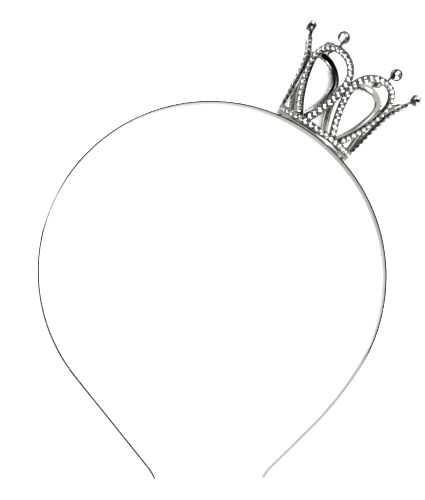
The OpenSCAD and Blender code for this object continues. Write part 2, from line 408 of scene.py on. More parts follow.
def strip_stations(rows, step=math.radians(3), straight_steps=12):
    """Points of the strip's outer face from the top of the head to a tip, with their headings."""
    x, y, heading = 0.0, settings().strip.radius, 0.0
    stations = [(x, y, heading)]
    for radius, turn, straight in rows:
        count = math.ceil(abs(turn) / step) if turn else straight_steps
        for _ in range(count):
            after = heading + turn / count
            x += radius * (math.sin(after) - math.sin(heading)) + straight / count * math.cos(heading)
            y += radius * (math.cos(after) - math.cos(heading)) - straight / count * math.sin(heading)
            heading = after
            stations.append((x, y, heading))
    return stations


def strip_line():
    """Points along the middle of the strip's outer face from its left tip to its right one."""
    s = settings().strip
    left = [(-x, y, -heading) for x, y, heading in strip_stations(left_side(s))]
    stations = left[::-1] + strip_stations(right_side(s))[1:]
    points = [Vector((x, y, 0)) for x, y, heading in stations]
    return points, [Vector((math.sin(h), math.cos(h), 0)) for x, y, h in stations]


# Sections are drawn with X outwards through the wall and Y across it. A corner's rounding takes no more
# than this share of a side.
ROUNDING_SHARE = 0.45


def rounded(corners, radius, steps):
    """A closed outline with rounded corners."""
    outline = []
    for i, corner in enumerate(corners):
        corner = Vector(corner)
        to_before = Vector(corners[i - 1]) - corner
        to_after = Vector(corners[(i + 1) % len(corners)]) - corner
        cut = min(radius, ROUNDING_SHARE * to_before.length, ROUNDING_SHARE * to_after.length)
        start, end = corner + to_before.normalized() * cut, corner + to_after.normalized() * cut
        for k in range(steps + 1):
            t = k / steps
            outline.append(start * (1 - t) ** 2 + corner * 2 * t * (1 - t) + end * t**2)
    return outline


def strip_section():
    """A flat strip with its edges rounded over."""
    s = settings().strip
    side = s.width / 2
    return rounded([(0, -side), (0, side), (-s.thickness, side), (-s.thickness, -side)], s.edge, 4)


# The stones' seats stand on plates, this deep under the loops' and the ring's faces. A loop's plate is a
# little narrower than the loop, and the edges of both are rounded.
PLATE_DEPTH = 1.15 * MM
RING_PLATE_DEPTH = 0.62 * MM
PLATE_SHARE = 0.94
CASTING_EDGE = 0.12 * MM

# Shares of a loop's thickness at which its back starts to round, and at which its shoulders lie, and the
# share of its half width at which they lie
SIDE_BACK = 0.84
SHOULDER_BACK = 0.96
SHOULDER_OUT = 0.7


def loop_section():
    """A thin plate with a softly rounded back."""
    c = settings().crown
    side, back = PLATE_SHARE * c.loop_width / 2, -c.loop_thickness
    half = [(-PLATE_DEPTH, side), (SIDE_BACK * back, side), (SHOULDER_BACK * back, SHOULDER_OUT * side)]
    *other_half, face = [(x, -y) for x, y in half[::-1]]
    return rounded([face, *half, (back, 0), *other_half], CASTING_EDGE, 2)


def ring_row_height():
    """Height of the middle of the ring's row of stones."""
    c, t = settings().crown, settings().stone
    return c.ring_height - t.width / 2 - t.seat_wall


def ring_section():
    """The ring's wall, with a plain rim at its foot and the plate for its stones over the rim."""
    c = settings().crown
    face, back = c.ring_proud, -c.ring_thickness - c.ring_proud
    rim, plate = face + c.rim_proud, face - RING_PLATE_DEPTH
    corners = [
        (back, 0), (rim, 0), (rim, c.rim_height), (plate, c.rim_height), (plate, c.ring_height),
        (back, c.ring_height),
    ]
    return rounded([(x + y * math.tan(c.flare), y) for x, y in corners], CASTING_EDGE, 2)


def circle_section(radius):
    """A round section."""
    return [Vector((radius * math.cos(t), radius * math.sin(t))) for t in even_turns(20)]


# Meshes
def new_object(name, mesh):
    found = bpy.data.objects.new(name, mesh)
    bpy.context.scene.collection.objects.link(found)
    return found


def line_object(name, lines, closed=False, place=None):
    """Lines of the crown's frame, or of the one given, as a mesh of edges.

    Each point keeps the way that it faces, as an attribute.
    """
    place = place or crown_place()
    points, looks, edges = [], [], []
    for line, facing in lines:
        first, count = len(points), len(line)
        points += [place @ point for point in line]
        looks += [place.to_3x3() @ look for look in facing]
        edges += [(first + i, first + (i + 1) % count) for i in range(count if closed else count - 1)]
    mesh = bpy.data.meshes.new(name)
    mesh.from_pydata(points, edges, [])
    attribute = mesh.attributes.new("facing", "FLOAT_VECTOR", "POINT")
    attribute.data.foreach_set("vector", [x for look in looks for x in look])
    return new_object(name, mesh)


def mark_painted_shade(mesh, shade_depths):
    """Keeps at each point its share of painted shade, from 0 in the open to 1 deepest in the hollows."""
    mesh.attributes.new("hollow_shade", "FLOAT", "POINT").data.foreach_set("value", [float(d) for d in shade_depths])
    return mesh


def section_object(name, outline, shade_depths=None):
    """A section as a closed line in the XY plane."""
    up = Vector((0, 0, 1))
    line = [p.to_3d() for p in outline], [up] * len(outline)
    section = line_object(name, [line], closed=True, place=Matrix.Identity(4))
    mark_painted_shade(section.data, shade_depths or [0] * len(outline))
    return section


def face_mesh(name, points, faces, *materials, smooth=True):
    """A mesh of faces with its materials."""
    mesh = bpy.data.meshes.new(name)
    mesh.from_pydata(points, [], faces)
    if smooth:
        mesh.shade_smooth()
    for material in materials:
        mesh.materials.append(material)
    return mesh


def joined_parts(parts):
    """The points and faces of several parts as one."""
    points, faces = [], []
    for own_points, own_faces in parts:
        faces += [[len(points) + v for v in face] for face in own_faces]
        points += own_points
    return points, faces


def turned_solid(profile, steps, closed=False):
    """The points, faces and painted shade of a solid turned about Z, which ends on the axis or is closed.

    Each corner of its profile has a radius, a height and its share of painted shade, from its depth in the
    hollows.
    """
    points, rows, faces, shade_depths = [], [], [], []
    for radius, height, depth in profile:
        count = steps if radius > 0 else 1
        rows.append(range(len(points), len(points) + count))
        shade_depths += [depth] * count
        points += [Vector((radius * math.cos(t), radius * math.sin(t), height)) for t in even_turns(count)]
    for lower, upper in zip(rows, rows[1:] + rows[:1] if closed else rows[1:]):
        for i in range(steps):
            ring = [lower[i % len(lower)], lower[(i + 1) % len(lower)]]
            ring += [upper[(i + 1) % len(upper)], upper[i % len(upper)]]
            faces.append(list(dict.fromkeys(ring)))
    return points, faces, shade_depths


def turned_object(name, *shape, **options):
    """A turned solid as an object."""
    points, faces, shade_depths = turned_solid(*shape, **options)
    return new_object(name, mark_painted_shade(face_mesh(name, points, faces), shade_depths))


# Shares of a round cut stone: how far out the corners of its star facets lie, of its radius and its
# table's together, and how far out its lower facets meet, of its radius
STAR_SHARE = 0.49
LOWER_SHARE = 0.42


def cut_stone(name, radius, table, crown, pavilion, *materials, girdle=0.0, sides=8):
    """A round cut stone with its table at 0 and its axis along Z. Its faces under the girdle are foiled."""
    half = math.pi / sides
    points, faces = [], []

    def ring(ring_radius, height, offset=0.0, count=sides):
        first = len(points)
        turns = [turn + offset for turn in even_turns(count)]
        points.extend((ring_radius * math.cos(t), ring_radius * math.sin(t), height) for t in turns)
        return [first + i for i in range(count)]

    top = ring(table, 0)
    star = STAR_SHARE * (radius + table)
    stars = ring(star, -crown * (star * math.cos(half) - table) / (radius - table), half)
    edge = ring(radius, -crown, count=2 * sides)
    faces.append(top)
    for i in range(sides):
        after = (i + 1) % sides
        corner, middle, corner_after = edge[2 * i], edge[2 * i + 1], edge[2 * after]
        faces += [
            [top[i], stars[i], top[after]], [top[i], stars[i - 1], corner, stars[i]],
            [stars[i], corner, middle], [stars[i], middle, corner_after],
        ]
    under = edge
    if girdle:
        under = ring(radius, -crown - girdle, count=2 * sides)
        for i in range(2 * sides):
            after = (i + 1) % (2 * sides)
            faces.append([edge[i], under[i], under[after], edge[after]])
    clear, tip, deepest = len(faces), len(points), -crown - girdle - pavilion
    points.append((0, 0, deepest))
    if girdle:
        lows = ring(LOWER_SHARE * radius, deepest + pavilion * LOWER_SHARE * math.cos(half), half)
        for i in range(sides):
            corner, middle, corner_after = under[2 * i], under[2 * i + 1], under[2 * ((i + 1) % sides)]
            faces += [[tip, lows[i], corner, lows[i - 1]], [lows[i], middle, corner]]
            faces.append([lows[i], corner_after, middle])
    else:
        faces += [[tip, under[(i + 1) % (2 * sides)], under[i]] for i in range(2 * sides)]
    mesh = face_mesh(name, points, faces, *materials, smooth=False)
    foiled = [i >= clear for i in range(len(faces))]
    mesh.attributes.new("foil", "BOOLEAN", "FACE").data.foreach_set("value", foiled)
    if materials:
        mesh.polygons.foreach_set("material_index", [int(foil) for foil in foiled])
    return mesh


# Node trees
class Nodes:
    """The nodes of a tree, with short ways to add and link them."""

    def __init__(self, tree):
        self.tree = tree

    def add(self, kind, inputs=None, **options):
        """A node with its options set. Each input is linked, or set where a plain value is given."""
        node = self.tree.nodes.new(kind)
        for key, value in options.items():
            setattr(node, key, value)
        for key, value in (inputs or {}).items():
            self.feed(node.inputs[key], value)
        return node

    def feed(self, socket, value):
        if isinstance(value, bpy.types.NodeSocket):
            self.tree.links.new(value, socket)
        else:
            socket.default_value = value

    def out(self, kind, inputs=None, output=0, **options):
        """The output of a new node."""
        return self.add(kind, inputs, **options).outputs[output]

    def maths(self, operation, *values):
        return self.out("ShaderNodeMath", dict(enumerate(values)), operation=operation)


class Tree(Nodes):
    """One Geometry Nodes tree with named inputs."""

    def __init__(self, name, **inputs):
        super().__init__(bpy.data.node_groups.new(name, "GeometryNodeTree"))
        face = self.tree.interface
        face.new_socket("Geometry", in_out="INPUT", socket_type="NodeSocketGeometry")
        self.keys = {}
        for label, kind in inputs.items():
            socket = face.new_socket(label, in_out="INPUT", socket_type=f"NodeSocket{kind}")
            self.keys[label] = socket.identifier
        face.new_socket("Geometry", in_out="OUTPUT", socket_type="NodeSocketGeometry")
        self.start = self.tree.nodes.new("NodeGroupInput").outputs
        self.end = self.tree.nodes.new("NodeGroupOutput").inputs["Geometry"]

    def vectors(self, operation, a, b):
        second = "Scale" if operation == "SCALE" else 1
        return self.out("ShaderNodeVectorMath", {0: a, second: b}, operation=operation)

    def attribute(self, name, kind):
        return self.out("GeometryNodeInputNamedAttribute", {"Name": name}, data_type=kind)

    def store(self, geometry, name, value, kind, domain):
        links = {"Geometry": geometry, "Name": name, "Value": value}
        return self.out("GeometryNodeStoreNamedAttribute", links, data_type=kind, domain=domain)

    def finish(self, geometry, *materials):
        """Ends the tree: its instances are made real, and each material is set where it belongs."""
        geometry = self.out("GeometryNodeRealizeInstances", {"Geometry": geometry})
        for material, chosen in materials:
            links = {"Geometry": geometry, "Selection": chosen, "Material": material}
            geometry = self.out("GeometryNodeSetMaterial", links)
        self.feed(self.end, geometry)
        return self

    def run(self, lines, name, **values):
        """The tree's result on an object as a plain mesh, in a new object."""
        modifier = lines.modifiers.new(self.tree.name, "NODES")
        modifier.node_group = self.tree
        for label, value in values.items():
            modifier[self.keys[label]] = value
        scene = bpy.context.evaluated_depsgraph_get()
        mesh = bpy.data.meshes.new_from_object(lines.evaluated_get(scene))
        mesh.name = name
        lines.modifiers.remove(modifier)
        bpy.data.objects.remove(lines)
        return new_object(name, mesh)


def sweep_tree():
    """Carries a section along lines, and keeps how far along the line and round the section it is."""
    tree = Tree("Carry Section Along Line", Section="Object", Metal="Material")
    far = tree.out("GeometryNodeSplineParameter", output="Length")
    curve = tree.out("GeometryNodeMeshToCurve", {"Mesh": tree.start["Geometry"]})
    facing = tree.attribute("facing", "FLOAT_VECTOR")
    curve = tree.out("GeometryNodeSetCurveNormal", {"Curve": curve, "Normal": facing}, mode="FREE")
    curve = tree.store(curve, "run_along", far, "FLOAT", "POINT")
    section = tree.out("GeometryNodeObjectInfo", {"Object": tree.start["Section"]}, output="Geometry")
    section = tree.out("GeometryNodeMeshToCurve", {"Mesh": section})
    section = tree.store(section, "run_round", far, "FLOAT", "POINT")
    links = {"Curve": curve, "Profile Curve": section, "Fill Caps": True}
    swept = tree.out("GeometryNodeCurveToMesh", links)
    swept = tree.out("GeometryNodeSetShadeSmooth", {"Geometry": swept})
    return tree.finish(swept, (tree.start["Metal"], True))


def row_tree(sides, between):
    """Sets an item at each even place along lines, or between them, in the middle or on both sides."""
    tree = Tree(
        "Set Items Along Rows", Item="Object", Pitch="Float", Sink="Float", Aside="Float", Lean="Float",
        Seed="Int", Front="Material", Back="Material",
    )
    start = tree.start
    curve = tree.out("GeometryNodeMeshToCurve", {"Mesh": start["Geometry"]})
    long = tree.out("GeometryNodeSplineLength", output="Length")
    pairs = tree.maths("ROUND", tree.maths("DIVIDE", long, tree.maths("MULTIPLY", start["Pitch"], 2.0)))
    open_end = tree.maths("SUBTRACT", 1.0, tree.out("GeometryNodeInputSplineCyclic"))
    count = tree.maths("ADD", tree.maths("MULTIPLY", pairs, 4.0), open_end)
    curve = tree.out("GeometryNodeResampleCurve", {"Curve": curve, "Count": count}, mode="COUNT")
    index = tree.out("GeometryNodeSplineParameter", output="Index")
    odd = tree.maths("MODULO", index, 2.0)
    chosen = odd if between else tree.maths("SUBTRACT", 1.0, odd)

    facing = tree.attribute("facing", "FLOAT_VECTOR")
    run = tree.out("GeometryNodeInputTangent")
    across = tree.vectors("CROSS_PRODUCT", run, facing)
    axes = {"Primary Axis": facing, "Secondary Axis": run}
    square = tree.out("FunctionNodeAxesToRotation", axes)
    item = tree.out("GeometryNodeObjectInfo", {"Object": start["Item"]}, output="Geometry")
    rows = tree.add("GeometryNodeJoinGeometry")
    for side in sides:
        seed = tree.maths("ADD", start["Seed"], float(side))
        sunk = tree.vectors("SCALE", facing, tree.maths("MULTIPLY", start["Sink"], -1.0))
        aside = tree.vectors("SCALE", across, tree.maths("MULTIPLY", start["Aside"], float(side)))
        offset = tree.vectors("ADD", sunk, aside)
        moved = tree.out("GeometryNodeSetPosition", {"Geometry": curve, "Offset": offset})
        draw = {
            "Min": tree.vectors("SCALE", (-1, -1, -3), start["Lean"]),
            "Max": tree.vectors("SCALE", (1, 1, 3), start["Lean"]),
            "Seed": seed,
        }
        leaning = tree.out("FunctionNodeRandomValue", draw, data_type="FLOAT_VECTOR")
        leaning = tree.out("FunctionNodeEulerToRotation", {"Euler": leaning})
        links = {"Rotation": square, "Rotate By": leaning}
        rotation = tree.out("FunctionNodeRotateRotation", links, rotation_space="LOCAL")
        links = {"Points": moved, "Selection": chosen, "Instance": item, "Rotation": rotation}
        placed = tree.out("GeometryNodeInstanceOnPoints", links)
        own = tree.out("FunctionNodeRandomValue", {"Seed": seed}, 1, data_type="FLOAT")
        placed = tree.store(placed, "own_shade", own, "FLOAT", "INSTANCE")
        tree.feed(rows.inputs[0], placed)
    foil = tree.attribute("foil", "BOOLEAN")
    return tree.finish(rows.outputs[0], (start["Front"], True), (start["Back"], foil))


# Materials
class Shader(Nodes):
    """A node material around one Principled shader."""

    def __init__(self, name, **values):
        self.material = bpy.data.materials.new(name)
        self.material.use_nodes = True
        super().__init__(self.material.node_tree)
        self.shader(**values)

    def shader(self, **inputs):
        """Sets or links inputs of the shader, and gives the material."""
        for key, value in inputs.items():
            self.feed(self.tree.nodes["Principled BSDF"].inputs[key.replace("_", " ")], value)
        return self.material

    def place(self, scale):
        """Object coordinates, scaled evenly."""
        here = self.out("ShaderNodeTexCoord", output="Object")
        return self.out("ShaderNodeMapping", {"Vector": here, "Scale": (scale, scale, scale)})

    def attribute(self, name):
        return self.out("ShaderNodeAttribute", output="Fac", attribute_name=name)

    def along_surface(self, along, round_it):
        """Coordinates that follow a swept surface: along its line, and round its section."""
        run = self.maths("MULTIPLY", self.attribute("run_along"), along)
        turn = self.maths("MULTIPLY", self.attribute("run_round"), round_it)
        return self.out("ShaderNodeCombineXYZ", {"X": run, "Y": turn})

    def stretches(self, rows, fade):
        """1 where a swept surface's line runs between two of the given places, and 0 elsewhere."""
        run = self.attribute("run_along")
        found = 0.0
        for start, end in rows:
            after = self.ramp(run, 0, 1, start - fade, start)
            found = self.maths("ADD", found, self.ramp(run, after, 0, end, end + fade))
        return found

    def noise(self, where, detail=3.0):
        return self.out("ShaderNodeTexNoise", {"Vector": where, "Scale": 1.0, "Detail": detail})

    def ramp(self, value, low, high, start=0.3, end=0.7):
        inputs = {"Value": value, "From Min": start, "From Max": end, "To Min": low, "To Max": high}
        return self.out("ShaderNodeMapRange", inputs)

    def mix(self, factor, a, b):
        return self.out("ShaderNodeMix", {0: factor, 6: a, 7: b}, output=2, data_type="RGBA")

    def bump(self, height, distance, strength):
        inputs = {"Height": height, "Distance": distance, "Strength": strength}
        return self.out("ShaderNodeBump", inputs)


def rgba(value):
    return (*value, 1.0)


def with_painted_shade(metal, base, rough):
    """Paints shade into a plating in its hollows, and leaves it duller there."""
    spread = metal.ramp(metal.noise(metal.place(1800)), 0.92, 1.0)
    deep = metal.maths("MULTIPLY", metal.attribute("hollow_shade"), spread)
    base = metal.mix(deep, base, rgba(settings().finish.hollow_shade))
    return base, metal.maths("MULTIPLY_ADD", deep, 0.35, rough)


def strip_metal():
    """Bright plating on the strip, with faint drawing lines along it, dulled where it is handled."""
    f = settings().finish
    metal = Shader("strip_plating", Metallic=1.0)
    patches = metal.noise(metal.place(45), detail=4)
    lines = metal.noise(metal.along_surface(60, 9000), detail=2)
    mixed = metal.maths("ADD", lines, patches)
    dulled = metal.stretches(DULL_STRETCHES, DULL_FADE)
    base = metal.mix(metal.ramp(patches, 0, 0.55), rgba(f.plating), rgba(f.worn))
    base = metal.mix(dulled, base, rgba(f.dulled))
    glance = metal.mix(dulled, rgba(f.strip_glance), rgba(f.dulled_glance))
    bright, dull = metal.ramp(mixed, 0.1, 0.24, 0.7, 1.3), metal.ramp(mixed, 0.5, 0.6, 0.7, 1.3)
    metal.shader(Base_Color=base, Specular_Tint=glance, Roughness=metal.ramp(dulled, bright, dull, 0, 1))
    return metal.shader(Normal=metal.bump(lines, 0.004 * MM, 0.5))


def casting_metal():
    """Bright plating over cast metal: slightly uneven, duller and with painted shade in its hollows."""
    f = settings().finish
    metal = Shader("casting_plating", Metallic=1.0, Specular_Tint=rgba(f.cast_glance))
    patches = metal.noise(metal.place(160), detail=5)
    ripples = metal.noise(metal.place(900))
    base = metal.mix(metal.ramp(patches, 0, 0.6), rgba(f.plating), rgba(f.worn))
    base, rough = with_painted_shade(metal, base, metal.ramp(patches, 0.07, 0.18))
    return metal.shader(Base_Color=base, Roughness=rough, Normal=metal.bump(ripples, 0.07 * MM, 0.7))


def bead_metal():
    """Plating on the prongs and seats, each a little brighter or duller than the next, and painted shade low
    down.
    """
    f = settings().finish
    metal = Shader("bead_plating", Metallic=1.0)
    own = metal.attribute("own_shade")
    grain = metal.noise(metal.place(2500))
    base = metal.mix(metal.ramp(own, 0, 0.8, 0, 1), rgba(f.plating), rgba(f.worn))
    rough = metal.ramp(metal.maths("ADD", own, grain), 0.06, 0.2, 0.4, 1.5)
    base, rough = with_painted_shade(metal, base, rough)
    return metal.shader(Base_Color=base, Roughness=rough, Normal=metal.bump(grain, 0.01 * MM, 0.5))


def solder_metal():
    """Dull solder that set in small runs and pits."""
    f = settings().finish
    metal = Shader("dull_solder", Metallic=1.0)
    lumps = metal.noise(metal.place(1400), detail=6)
    base = metal.mix(metal.ramp(lumps, 0, 1), rgba(f.solder), rgba(f.worn))
    rough = metal.ramp(lumps, 0.3, 0.55)
    return metal.shader(Base_Color=base, Roughness=rough, Normal=metal.bump(lumps, 0.08 * MM, 0.8))


def clear_glass(name="clear_glass"):
    """Clear cut glass with fine polishing marks, and a breath of tint that differs from stone to stone."""
    f = settings().finish
    glass = Shader(name, Transmission_Weight=1.0, IOR=1.58)
    own = glass.noise(glass.place(420), detail=1)
    marks = glass.noise(glass.place(6000), detail=4)
    tint = glass.mix(glass.ramp(own, 0, 1), rgba(f.glass), rgba(f.tinted_glass))
    rough = glass.ramp(marks, 0.0, 0.035)
    return glass.shader(Base_Color=tint, Roughness=rough, Normal=glass.bump(marks, 0.002 * MM, 0.3))


def stone_foil():
    """Silver foil on the back of a stone, slightly clouded."""
    f = settings().finish
    foil = Shader("stone_foil", Metallic=1.0)
    cloud = foil.noise(foil.place(700), detail=4)
    base = foil.mix(foil.ramp(cloud, 0, 0.5), rgba(f.foil), rgba(f.worn))
    return foil.shader(Base_Color=base, Roughness=foil.ramp(cloud, 0.02, 0.09))


def floor_paper():
    """Matt white paper."""
    f = settings().finish
    paper = Shader("pale_paper", Specular_IOR_Level=0.2)
    grain = paper.noise(paper.place(220))
    darker = [FLOOR_GRAIN * c for c in f.floor]
    base = paper.mix(paper.ramp(grain, 0, 1), rgba(f.floor), rgba(darker))
    return paper.shader(Base_Color=base, Roughness=paper.ramp(grain, 0.8, 0.9))


def settle(piece, slot, *nodes):
    """A finished piece rides on the object's one body, and stands for the nodes named."""
    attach(piece, BODY)
    if nodes:
        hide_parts(*nodes)


def drop(*objects):
    """Removes the parts that only helped to build a piece."""
    for found in objects:
        bpy.data.objects.remove(found)


def swept_piece(name, lines, outline, metal, slot, node, shade_depths=None):
    """Carries a section along lines, as a finished piece."""
    section = section_object(f"{name}_section", outline, shade_depths)
    piece = sweep_tree().run(lines, name, Section=section, Metal=metal)
    drop(section)
    settle(piece, slot, node)


class CROWNBAND_OT_bend_strip(bpy.types.Operator):
    """Bend the headband's strip along its path"""

    bl_idname = "crownband.bend_strip"
    bl_label = "Bend Strip"

    def execute(self, context):
        lines = line_object("strip_line", [strip_line()], place=strip_place())
        swept_piece("polished_strip", lines, strip_section(), strip_metal(), "strip_metal", "headband_strip")
        return {"FINISHED"}


class CROWNBAND_OT_cast_loops(bpy.types.Operator):
    """Cast the crown's six loops, each from its foot in the ring over its top and back"""

    bl_idname = "crownband.cast_loops"
    bl_label = "Cast Loops"

    def execute(self, context):
        lines = line_object("loop_lines", loops_over(FOOT_IN_RING * settings().crown.ring_height))
        outline = loop_section()
        # Painted shade on the plate under the loop's stones
        shaded_plate = [p.x > -PLATE_DEPTH - CASTING_EDGE for p in outline]
        swept_piece("crown_loops", lines, outline, casting_metal(), "crown_metal", "crown_frame", shaded_plate)
        return {"FINISHED"}


class CROWNBAND_OT_cast_ring(bpy.types.Operator):
    """Cast the crown's base ring with its plain rim"""

    bl_idname = "crownband.cast_ring"
    bl_label = "Cast Ring"

    def execute(self, context):
        c = settings().crown
        points, turns = ring_line()
        lines = line_object("ring_line", [(points, [around(t, 1, 0) for t in turns])], closed=True)
        outline = ring_section()
        # Painted shade on the plate behind the ring's stones
        plate = c.ring_proud - RING_PLATE_DEPTH - CASTING_EDGE
        shaded_plate = [p.y > c.rim_height and p.x - p.y * math.tan(c.flare) > plate for p in outline]
        swept_piece("crown_ring", lines, outline, casting_metal(), "crown_metal", "crown_frame", shaded_plate)
        return {"FINISHED"}


# How far the loops' feet reach up the ring, as a share of its height, and how far over the ring a loop's
# lowest stone lies, as a share of a stone's width
FOOT_IN_RING = 0.6
LOWEST_STONE = 0.55

# How deep the seats' tops lie, how far a seat stands clear of its stone and its foot sinks in the plate,
# how much of a seat's height gets full painted shade, how much painted shade it gets outside over that and
# inside, how wide a prong's foot is as a share of its head, how much painted shade a prong gains with each
# radius that it goes down, and how much of that its head is spared
SEAT_DEPTH = 0.2 * MM
PLAY = 0.01 * MM
SEAT_SHADED_SHARE = 0.35
SEAT_OUTSIDE_SHADE, SEAT_INSIDE_SHADE = 0.1, 0.9
PRONG_FOOT_SHARE = 0.85
PRONG_SHADE_STEP = 1.4
PRONG_SPARED = 0.4

# Tables of the small and the finial stones as shares of their radius, and the heights of their parts
SMALL_TABLE = 0.5
SMALL_CROWN = 0.26 * MM
SMALL_PAVILION = 0.31 * MM
FINIAL_TABLE = 0.52
FINIAL_CROWN = 0.98 * MM
FINIAL_GIRDLE = 0.12 * MM
FINIAL_PAVILION = 0.8 * MM


def stone_rows():
    """The lines of small stones: one over each loop, and one round the ring, with its pitch."""
    c, t = settings().crown, settings().stone
    loops = line_object("loop_rows", loops_over(c.ring_height + LOWEST_STONE * t.width))
    points, turns = ring_line(ring_row_height(), c.ring_proud)
    facing = squared(points, [wall_facing(turn) for turn in turns], closed=True)
    ring = line_object("ring_row", [(points, facing)], closed=True)
    around_ring = sum((a - b).length for a, b in zip(points, points[1:] + points[:1]))
    return (("loop", loops, t.pitch), ("ring", ring, around_ring / t.ring_count))


def stone_seat():
    """The thin round seat of a small stone, with its axis along Z. It stands on the plate."""
    t = settings().stone
    inner = t.width / 2 + PLAY
    outer = inner + t.seat_wall
    top, foot = -SEAT_DEPTH, -PLATE_DEPTH - PLAY
    low = foot + SEAT_SHADED_SHARE * (top - foot)
    # Painted shade at each corner: full at the foot and inside the rim, light outside over the lower part
    profile = [
        (outer, foot, 1), (outer, low, SEAT_OUTSIDE_SHADE), (outer, top, SEAT_OUTSIDE_SHADE), (inner, top, SEAT_INSIDE_SHADE),
        (inner, foot, 1),
    ]
    return turned_object("stone_seat", profile, 12, closed=True)


def prong_bead(rows=3):
    """A prong with a round head, standing on the plate with its top at 0. It has painted shade, darker lower
    down.
    """
    foot, radius = -PLATE_DEPTH - PLAY, settings().stone.prong / 2
    profile = [(0, foot), (PRONG_FOOT_SHARE * radius, foot)]
    for i in range(rows + 1):
        turn = math.pi / 2 * i / rows
        profile.append((radius * math.cos(turn) if i < rows else 0, radius * (math.sin(turn) - 1)))
    shade_depths = [-PRONG_SHADE_STEP * z / radius - PRONG_SPARED for r, z in profile]
    profile = [(*corner, min(1, max(0, depth))) for corner, depth in zip(profile, shade_depths)]
    return turned_object("prong_bead", profile, 9)


class CROWNBAND_OT_set_small_stones(bpy.types.Operator):
    """Set the rows of small stones with their seats and prongs"""

    bl_idname = "crownband.set_small_stones"
    bl_label = "Set Small Stones"

    def execute(self, context):
        c, t = settings().crown, settings().stone
        glass, foil, bead = clear_glass(), stone_foil(), bead_metal()
        cut = cut_stone("small_stone", t.width / 2, SMALL_TABLE * t.width / 2, SMALL_CROWN, SMALL_PAVILION)
        stone, seat, prong = new_object("small_stone", cut), stone_seat(), prong_bead()
        bead_aside = (c.loop_width - t.prong) / 2
        in_row, beside = row_tree((0,), between=False), row_tree((-1, 1), between=True)
        kinds = (
            ("stones", in_row, stone, t.sink, 0.0, t.uneven, glass, foil, "clear_stone"),
            ("seats", in_row, seat, 0.0, 0.0, 0.0, bead, bead, "crown_metal"),
            ("prongs", beside, prong, t.sink / 2, bead_aside, 2 * t.uneven, bead, bead, "crown_metal"),
        )
        for name, tree, item, sink, aside, lean, front, back, slot in kinds:
            for seed, (row, lines, pitch) in enumerate(stone_rows()):
                piece = tree.run(
                    lines, f"{row}_{name}", Item=item, Pitch=pitch, Sink=sink, Aside=aside, Lean=lean,
                    Seed=seed, Front=front, Back=back,
                )
                settle(piece, slot)
        drop(stone, seat, prong)
        return {"FINISHED"}


def finial_place(row):
    """A cup's frame: Z out of its mouth, from the middle of its back."""
    turn, height = way_of(row), finial_height()
    back = around(turn, wall_radius(turn, height, row[BEND]) - settings().finial.inset, height)
    aside, up, out = around(turn + math.pi / 2, 1, 0), Vector((0, 0, 1)), around(turn, 1, 0)
    return crown_place() @ axes_at(back, aside, up, out)


# A cup: how high the edge of its back is rounded, the floor of its bore, and how much painted shade it gets
# on its side and elsewhere. A neck starts this share of a loop's width over the middle of the loop's top.
CUP_BACK_EDGE = 0.04 * MM
CUP_FLOOR_RADIUS = 0.5 * MM
CUP_FLOOR = 0.8 * MM
CUP_SIDE_SHADE, CUP_OTHER_SHADE = 0.2, 1
NECK_FOOT = 0.2


def cup_shape():
    """A cup with a tapered back and a thin rolled rim, open in front down to its floor."""
    f = settings().finial
    radius, bore, lip = f.cup / 2, f.cup / 2 - f.wall, f.wall / 3
    back = [(0, 0), (0.55 * radius, 0), (0.6 * radius, CUP_BACK_EDGE)]
    side = [(0.97 * radius, 0.94 * f.taper), (radius, 1.08 * f.taper), (radius, f.depth - 2 * lip)]
    rim = [
        (radius - 0.4 * lip, f.depth - 0.6 * lip), (radius - 1.2 * lip, f.depth),
        (bore + 0.4 * lip, f.depth - 0.5 * lip), (bore, f.depth - 1.6 * lip),
    ]
    inside = [(bore, f.depth - f.bore), (CUP_FLOOR_RADIUS, CUP_FLOOR), (0, CUP_FLOOR)]
    # Painted shade: full on the back, the rim and inside, light on the side
    shades = ((back, CUP_OTHER_SHADE), (side, CUP_SIDE_SHADE), (rim + inside, CUP_OTHER_SHADE))
    return turned_solid([(*corner, depth) for corners, depth in shades for corner in corners], 48)


def neck_line(row):
    """The middle of a neck, from inside its loop to inside its cup."""
    c, turn = settings().crown, way_of(row)
    foot = c.top_height + NECK_FOOT * c.loop_width
    head = finial_height() - settings().finial.cup / 2 + c.neck_width / 2
    heights = [foot + (head - foot) * i / 4 for i in range(5)]
    line = [around(turn, wall_radius(turn, h, row[BEND]) - c.loop_thickness / 2, h) for h in heights]
    return line, squared(line, [wall_facing(turn)] * len(line))


class CROWNBAND_OT_set_finials(bpy.types.Operator):
    """Stand a neck, a cup and a round stone on top of each loop"""

    bl_idname = "crownband.set_finials"
    bl_label = "Set Finials"

    def execute(self, context):
        f, metal = settings().finial, casting_metal()
        radius = f.cup / 2 - f.wall - f.gap
        cut = (radius, FINIAL_TABLE * radius, FINIAL_CROWN, FINIAL_PAVILION)
        front, back = clear_glass("finial_glass"), stone_foil()
        for row, node in zip(LOOPS, FINIALS):
            mesh = cut_stone(f"cut_{node}", *cut, front, back, girdle=FINIAL_GIRDLE)
            mesh.transform(finial_place(row) @ Matrix.Translation((0, 0, f.depth + f.rise)))
            settle(new_object(f"cut_{node}", mesh), "clear_stone", node)

        lines = line_object("neck_lines", [neck_line(row) for row in LOOPS])
        outline = circle_section(settings().crown.neck_width / 2)
        swept_piece("crown_necks", lines, outline, metal, "crown_metal", "crown_frame")

        points, faces, shade_depths = cup_shape()
        cups = joined_parts(([finial_place(row) @ point for point in points], faces) for row in LOOPS)
        mesh = mark_painted_shade(face_mesh("finial_cups", *cups, metal), shade_depths * len(LOOPS))
        settle(new_object("finial_cups", mesh), "crown_metal", "crown_frame")
        return {"FINISHED"}


